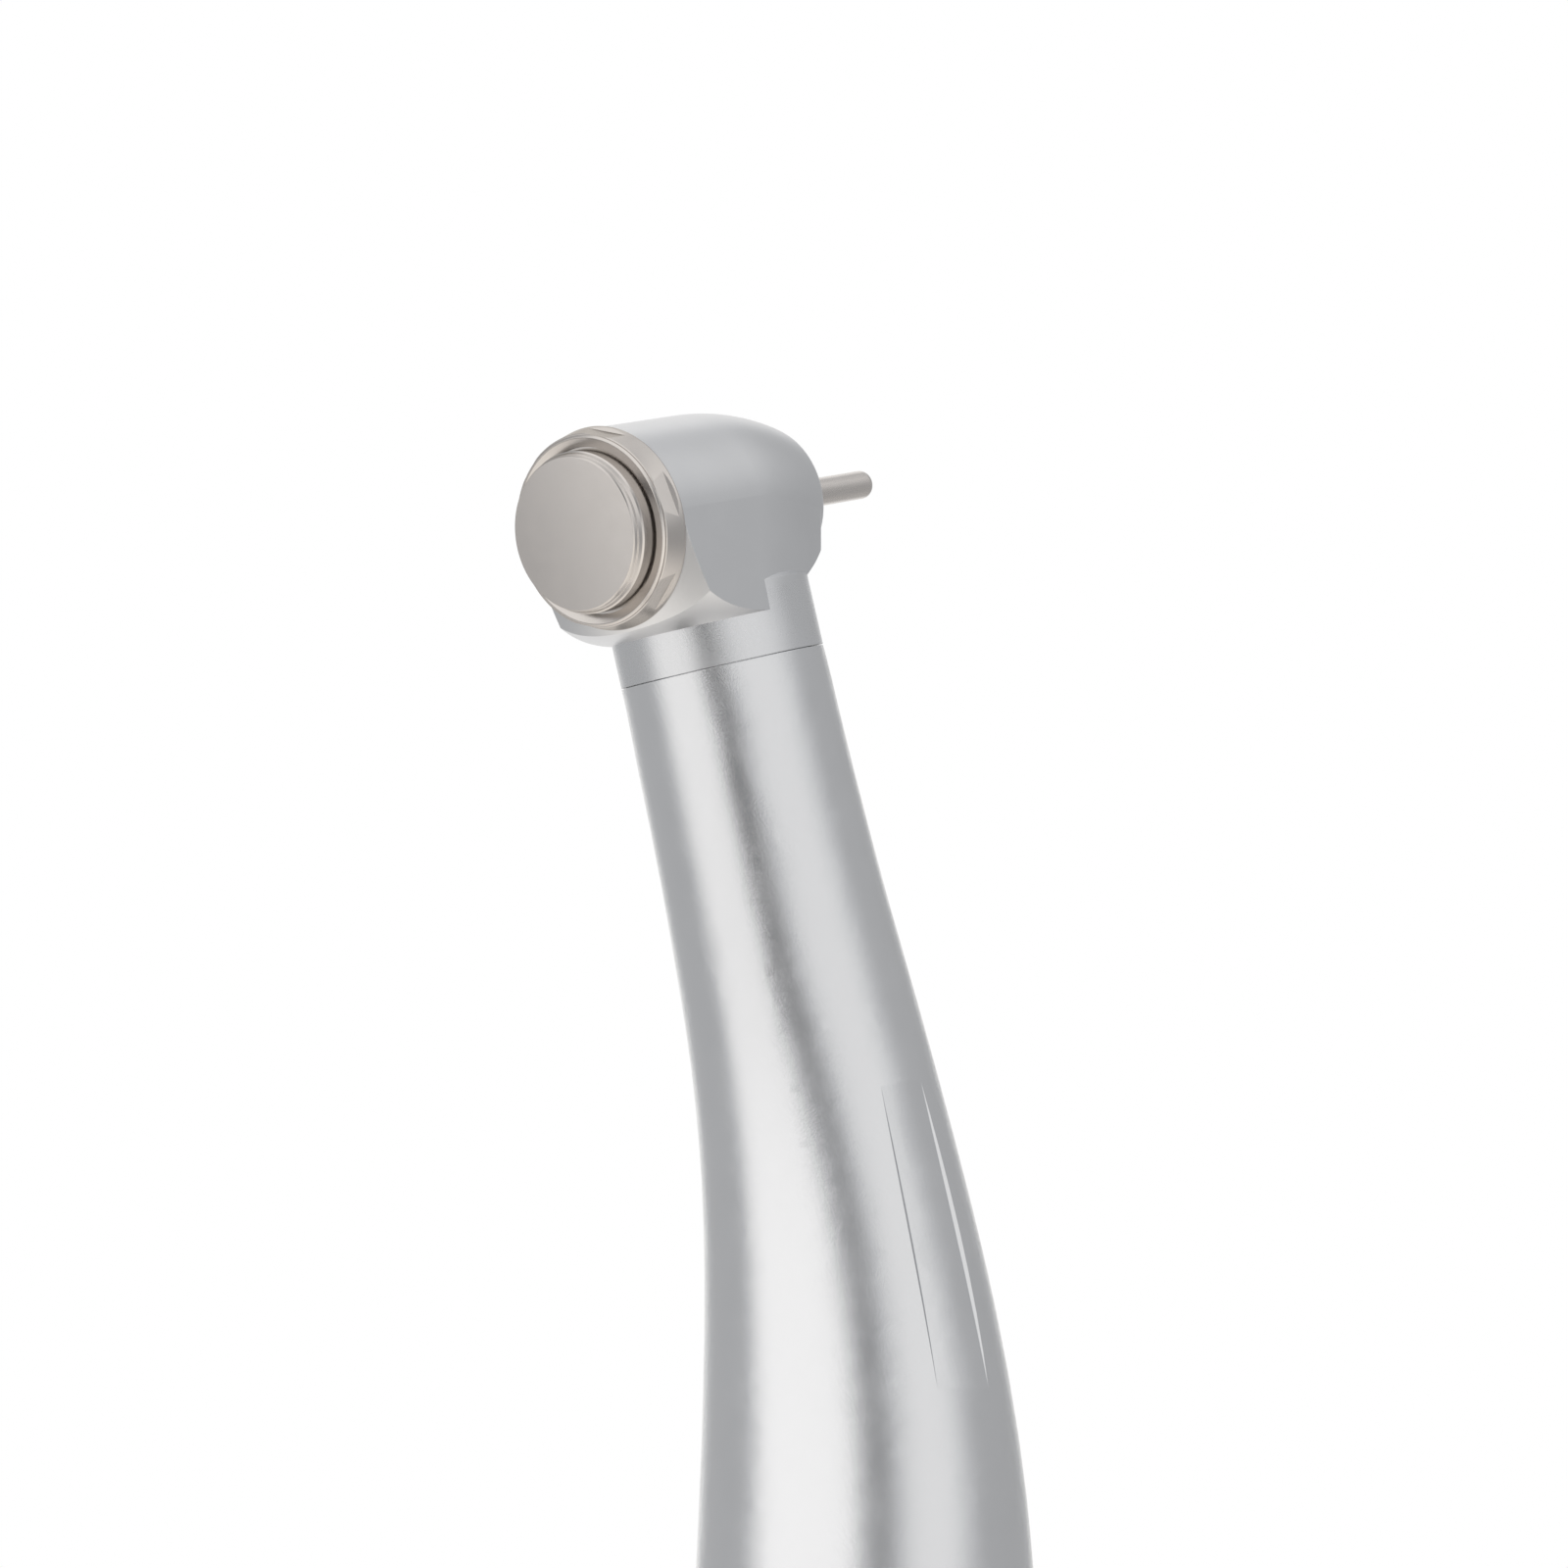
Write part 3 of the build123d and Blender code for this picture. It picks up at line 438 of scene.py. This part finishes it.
def tube_finish(name, base):
    """Drawn tube: faint marks along the handle."""
    finish = Finish(name, base)
    place = finish.along_handle()
    draw = finish.noise(place, 0.07 * MM, 3.0, 0.6, stretch=(1, 1, 25))
    finish.rough(finish.noise(place, 1.0 * MM, 3.0, 0.5), 0.14, 0.24)
    finish.tone(draw, 0.92)
    finish.relief((draw, 0.004 * MM), edge=0.03 * MM)
    return finish.material


def rubber_finish(name, base):
    """Matt rubber with a fine skin."""
    finish = Finish(name, base, metallic=0.0)
    skin = finish.noise(finish.place, 0.09 * MM, 4.0, 0.6)
    finish.rough(skin, 0.48, 0.66)
    finish.tone(finish.noise(finish.place, 0.8 * MM, 3.0, 0.5), 0.75, 1.25)
    finish.relief((skin, 0.006 * MM))
    return finish.material


def ceramic_finish(name, base):
    """Polished silicon nitride with faint mottling."""
    finish = Finish(name, base, metallic=0.0)
    mottle = finish.noise(finish.place, 0.12 * MM, 4.0, 0.6)
    finish.tone(mottle, 0.7, 1.3)
    finish.rough(mottle, 0.05, 0.11)
    finish.shader.inputs["Coat Weight"].default_value = 0.4
    finish.relief((mottle, 0.0004 * MM))
    return finish.material


def resin_finish(name, base):
    """Fabric-filled phenolic: a fine weave of threads in amber resin."""
    finish = Finish(name, base, metallic=0.0)
    place = finish.about_bur()
    weave = finish.math("MULTIPLY", finish.noise(place, 0.06 * MM, 2.0, 0.5, stretch=(6, 1, 1)), 0.5)
    cross = finish.math("MULTIPLY", finish.noise(place, 0.06 * MM, 2.0, 0.5, stretch=(1, 1, 6)), 0.5)
    threads = finish.math("ADD", weave, cross)
    finish.tone(threads, 0.62, 1.15)
    finish.rough(threads, 0.38, 0.55)
    finish.relief((threads, 0.006 * MM), edge=0.02 * MM)
    return finish.material


def ground_finish(name, base):
    """Ground and polished bearing steel."""
    finish = Finish(name, base)
    place = finish.about_bur()
    marks = finish.noise(finish.turned(place), 0.025 * MM, 2.0, 0.6)
    finish.rough(finish.noise(place, 0.5 * MM, 3.0, 0.5), 0.07, 0.13)
    finish.tone(marks, 0.94)
    finish.relief((marks, 0.0006 * MM), edge=0.03 * MM)
    return finish.material


def milled_finish(name, base):
    """Milled aluminium with short tool marks."""
    finish = Finish(name, base)
    place = finish.about_bur()
    marks = finish.noise(finish.twisted(place, 300.0), 0.06 * MM, 3.0, 0.6, stretch=(5, 5, 1))
    finish.rough(marks, 0.20, 0.32)
    finish.tone(marks, 0.90)
    finish.relief((marks, 0.004 * MM), edge=0.03 * MM)
    return finish.material


FINISHES = {
    "head_steel": head_finish,
    "handle_steel": handle_finish,
    "cap_steel": cap_finish,
    "bur_steel": bur_finish,
    "bearing_steel": ground_finish,
    "ball_ceramic": ceramic_finish,
    "cage_resin": resin_finish,
    "impeller_aluminium": milled_finish,
    "spring_steel": wire_finish,
    "seal_rubber": rubber_finish,
    "tube_steel": tube_finish,
}
TURNED_FINISHES = {
    "connector_steel": {"roughness": 0.24, "pitch": 0.08, "height": 0.005},
    "collar_steel": {"roughness": 0.28, "pitch": 0.06, "height": 0.004, "edge": 0.06},
    "spindle_steel": {"roughness": 0.16, "pitch": 0.04, "height": 0.002, "edge": 0.02, "about_bur": True},
    "fitting_brass": {"roughness": 0.20, "pitch": 0.07, "height": 0.004},
}
OWN_TONES = {"cap_steel": CAP_TONE, "bur_steel": BUR_TONE}


def slot_finish(slot, base):
    """The material of a slot, in its own tone or else in the record's base colour."""
    tone = OWN_TONES.get(slot, base)
    if slot in TURNED_FINISHES:
        return turned_finish(slot, tone, **TURNED_FINISHES[slot])
    return FINISHES[slot](slot, tone)


def paint(mesh, material):
    mesh.materials.clear()
    mesh.materials.append(material)


def paint_all():
    """Gives every CAD node the finish of its material slot, and returns the finishes."""
    slot_of = {entry["node"]: entry["material_slot"] for entry in frame["record"]["subparts"]}
    slots = {entry["slot"]: entry["base_color"][:3] for entry in frame["record"]["materials"]}
    made = {slot: slot_finish(slot, base) for slot, base in slots.items()}
    for name, node in frame["nodes"].items():
        paint(node.data, made[slot_of[name]])
    return made


# --- Cap and button, turned with fine edges ---
LATHE_SEGMENTS = 288
ARC_STEP = math.radians(9)  # turn of each step of a rounded corner
CREASE = math.radians(11)  # edges that turn by more than this stay crisp

# Sizes are in millimetres. Depths run from the piece's rear face towards the bur.
BUTTON_FACE_R = 4.15
BUTTON_BAND = {"start": (4.205, 0.075), "end": (4.335, 0.55)}
BUTTON_LINES = (0.36, 0.50)  # places of the two fine turned lines along the band
LINE_HALF, LINE_DEPTH = 0.022, 0.014
BUTTON_SKIRT_R = 4.42
BUTTON_SKIRT_INNER_R = 3.97
BUTTON_SKIRT_START = 0.63
BUTTON_FLANGE_R = 4.68
BUTTON_FLANGE = (1.66, 1.86)
BUTTON_PLATE = 0.95
BUTTON_BOSS_R, BUTTON_BOSS_END = 1.20, 2.64
CAP_OUTLINE = [  # (radius, depth, rounding of the corner); each comment is for the stretch that starts there
    (4.555, 0.30, 0),  # bore
    (4.555, 0.15, 0.015),
    (5.035, 0.02, 0),  # inner chamfer
    (5.05, 0, 0.01),  # crest
    (5.10, 0, 0.03),
    (5.20, 0.095, 0.01),
    (5.205, 0.15, 0),  # fine groove
    (5.25, 0.15, 0.008),
    (5.285, 0.185, 0.01),  # conical band with the notches
    (5.545, 1.29, 0),
    (5.56, 1.37, 0.03),
    (5.55, 1.44, 0.02),
    (4.97, 1.44, 0),  # thread
    (4.97, 2.65, 0.05),
    (4.74, 2.65, 0.05),  # counterbore
    (4.74, 0.30, 0),
]
NOTCH_COUNT = 6
NOTCH_TURN = math.radians(20.5)  # first wrench notch, from the top of the head
NOTCH_FLOOR_R = 5.34
NOTCH_DEPTH = 1.07  # depth of the notch's inner corner behind the cap's face
NOTCH_SLOPE = math.radians(8)
NOTCH_WALL_LEAN = math.radians(40)
NOTCH_WIDTH = 8.0
NOTCH_REACH = 1.0  # how far the cutting wedges reach past the cap's outside


def lowest_along(node_name):
    """Distance along the bur axis from the head's centre to a CAD node's rear end."""
    points = frame["nodes"][node_name].data.vertices
    return min((point.co - HEAD).dot(BUR_AXIS) for point in points)


def rounded(corners):
    """Outline with each corner's rounding made by short steps."""
    outline = []
    for index, (radius, depth, rounding) in enumerate(corners):
        corner = Vector((radius, depth))
        if not rounding:
            outline.append(corner)
            continue
        before = (Vector(corners[index - 1][:2]) - corner).normalized()
        after = (Vector(corners[(index + 1) % len(corners)][:2]) - corner).normalized()
        half = before.angle(after) / 2
        middle = corner + (before + after).normalized() * (rounding / math.sin(half))
        start = corner + before * (rounding / math.tan(half)) - middle
        turn = math.pi - 2 * half
        steps = max(2, math.ceil(turn / ARC_STEP))
        side = 1 if before.cross(after) < 0 else -1
        for step in range(steps + 1):
            outline.append(middle + Matrix.Rotation(side * turn * step / steps, 2) @ start)
    return outline


def lathe(name, corners, rear):
    """Solid turned about the bur axis, its rear face at the distance given."""
    outline = rounded(corners)
    across = BUR_AXIS.cross(NECK_DOWN)
    points, rings, faces = [], [], []
    for radius, depth in outline:
        centre = HEAD + (rear + depth * MM) * BUR_AXIS
        if radius < 1e-6:
            rings.append([len(points)])
            points.append(centre)
            continue
        rings.append(range(len(points), len(points) + LATHE_SEGMENTS))
        for step in range(LATHE_SEGMENTS):
            angle = 2 * math.pi * step / LATHE_SEGMENTS
            points.append(centre + radius * MM * (math.cos(angle) * -NECK_DOWN + math.sin(angle) * across))
    for near, far in zip(rings, rings[1:] + rings[:1]):
        if len(near) == len(far) == 1:
            continue
        for step in range(LATHE_SEGMENTS):
            after = (step + 1) % LATHE_SEGMENTS
            if len(near) == 1:
                faces.append((near[0], far[step], far[after]))
            elif len(far) == 1:
                faces.append((near[step], far[0], near[after]))
            else:
                faces.append((near[step], far[step], far[after], near[after]))
    return solid(name, points, faces)


def solid(name, points, faces):
    """Object from points and faces with its normals outwards."""
    mesh = bpy.data.meshes.new(name)
    mesh.from_pydata(points, [], faces)
    piece = bpy.data.objects.new(name, mesh)
    bpy.context.scene.collection.objects.link(piece)
    made = bmesh.new()
    made.from_mesh(mesh)
    bmesh.ops.recalc_face_normals(made, faces=made.faces)
    made.to_mesh(mesh)
    made.free()
    return piece


def crisp(piece):
    """Gives the piece smooth shading that keeps its edges crisp."""
    for face in piece.data.polygons:
        face.use_smooth = True
    piece.data.set_sharp_from_angle(angle=CREASE)


def fine_button():
    """The push button, with fine turned lines round its band."""
    start, end = Vector(BUTTON_BAND["start"]), Vector(BUTTON_BAND["end"])
    along = (end - start).normalized()
    inwards = Vector((-along.y, along.x))
    corners = [(0, 0, 0), (BUTTON_FACE_R, 0, 0.03), (*start, 0.02)]
    for share in BUTTON_LINES:
        middle = start.lerp(end, share)
        corners.append((*(middle - along * LINE_HALF), 0))
        corners.append((*(middle + inwards * LINE_DEPTH), 0))
        corners.append((*(middle + along * LINE_HALF), 0))
    flange_start, flange_end = BUTTON_FLANGE
    corners += [
        (*end, 0),
        (BUTTON_SKIRT_R, BUTTON_SKIRT_START, 0.02),
        (BUTTON_SKIRT_R, flange_start, 0),
        (BUTTON_FLANGE_R, flange_start, 0.03),
        (BUTTON_FLANGE_R, flange_end, 0.03),
        (BUTTON_SKIRT_INNER_R, flange_end, 0),
        (BUTTON_SKIRT_INNER_R, BUTTON_PLATE, 0.1),
        (BUTTON_BOSS_R, BUTTON_PLATE, 0.1),
        (BUTTON_BOSS_R, BUTTON_BOSS_END, 0.08),
        (0, BUTTON_BOSS_END, 0),
    ]
    piece = lathe("push_button_fine", corners, lowest_along("push_button"))
    crisp(piece)
    return piece


def notch_tool(name, rear):
    """Wedges that cut the wrench notches: a sloping floor and a leaning wall."""
    floor_drop = (NOTCH_DEPTH + NOTCH_REACH) * math.tan(NOTCH_SLOPE)
    section = [
        (NOTCH_FLOOR_R, NOTCH_DEPTH),
        (NOTCH_FLOOR_R + NOTCH_REACH, NOTCH_DEPTH + NOTCH_REACH * math.tan(NOTCH_WALL_LEAN)),
        (NOTCH_FLOOR_R + NOTCH_REACH, -NOTCH_REACH),
        (NOTCH_FLOOR_R - floor_drop, -NOTCH_REACH),
    ]
    across = BUR_AXIS.cross(NECK_DOWN)
    points, faces = [], []
    for notch in range(NOTCH_COUNT):
        angle = -NOTCH_TURN + notch * 2 * math.pi / NOTCH_COUNT
        out = math.cos(angle) * -NECK_DOWN + math.sin(angle) * across
        side = BUR_AXIS.cross(out)
        base = len(points)
        for offset in (-NOTCH_WIDTH / 2, NOTCH_WIDTH / 2):
            for radius, depth in section:
                points.append(HEAD + (rear + depth * MM) * BUR_AXIS + radius * MM * out + offset * MM * side)
        faces.append([base + n for n in (0, 1, 2, 3)])
        faces.append([base + n for n in (7, 6, 5, 4)])
        faces += [[base + n, base + 4 + n, base + 4 + (n + 1) % 4, base + (n + 1) % 4] for n in range(4)]
    return solid(name, points, faces)


def cut_away(piece, tool):
    """Cuts the tool out of the piece's mesh and deletes the tool."""
    cut = piece.modifiers.new("cut", "BOOLEAN")
    cut.operation = "DIFFERENCE"
    cut.solver = "EXACT"
    cut.object = tool
    bpy.context.view_layer.update()
    result = bpy.data.meshes.new_from_object(piece.evaluated_get(bpy.context.evaluated_depsgraph_get()))
    piece.modifiers.clear()
    piece.data = result
    bpy.data.objects.remove(tool)


def fine_cap():
    """The head cap, turned to its outline and notched."""
    rear = lowest_along("head_cap")
    piece = lathe("head_cap_fine", CAP_OUTLINE, rear)
    cut_away(piece, notch_tool("notch_tool", rear))
    crisp(piece)
    return piece


def add_fine_pieces(finishes):
    for piece, node, body, slot in (
        (fine_button(), "push_button", "button", "cap_steel"),
        (fine_cap(), "head_cap", "casing", "cap_steel"),
    ):
        paint(piece.data, finishes[slot])
        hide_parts(node)
        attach(piece, body)


bpy.context.scene.view_settings.view_transform = "Standard"
add_camera()
add_world()
add_floor()
add_fine_pieces(paint_all())
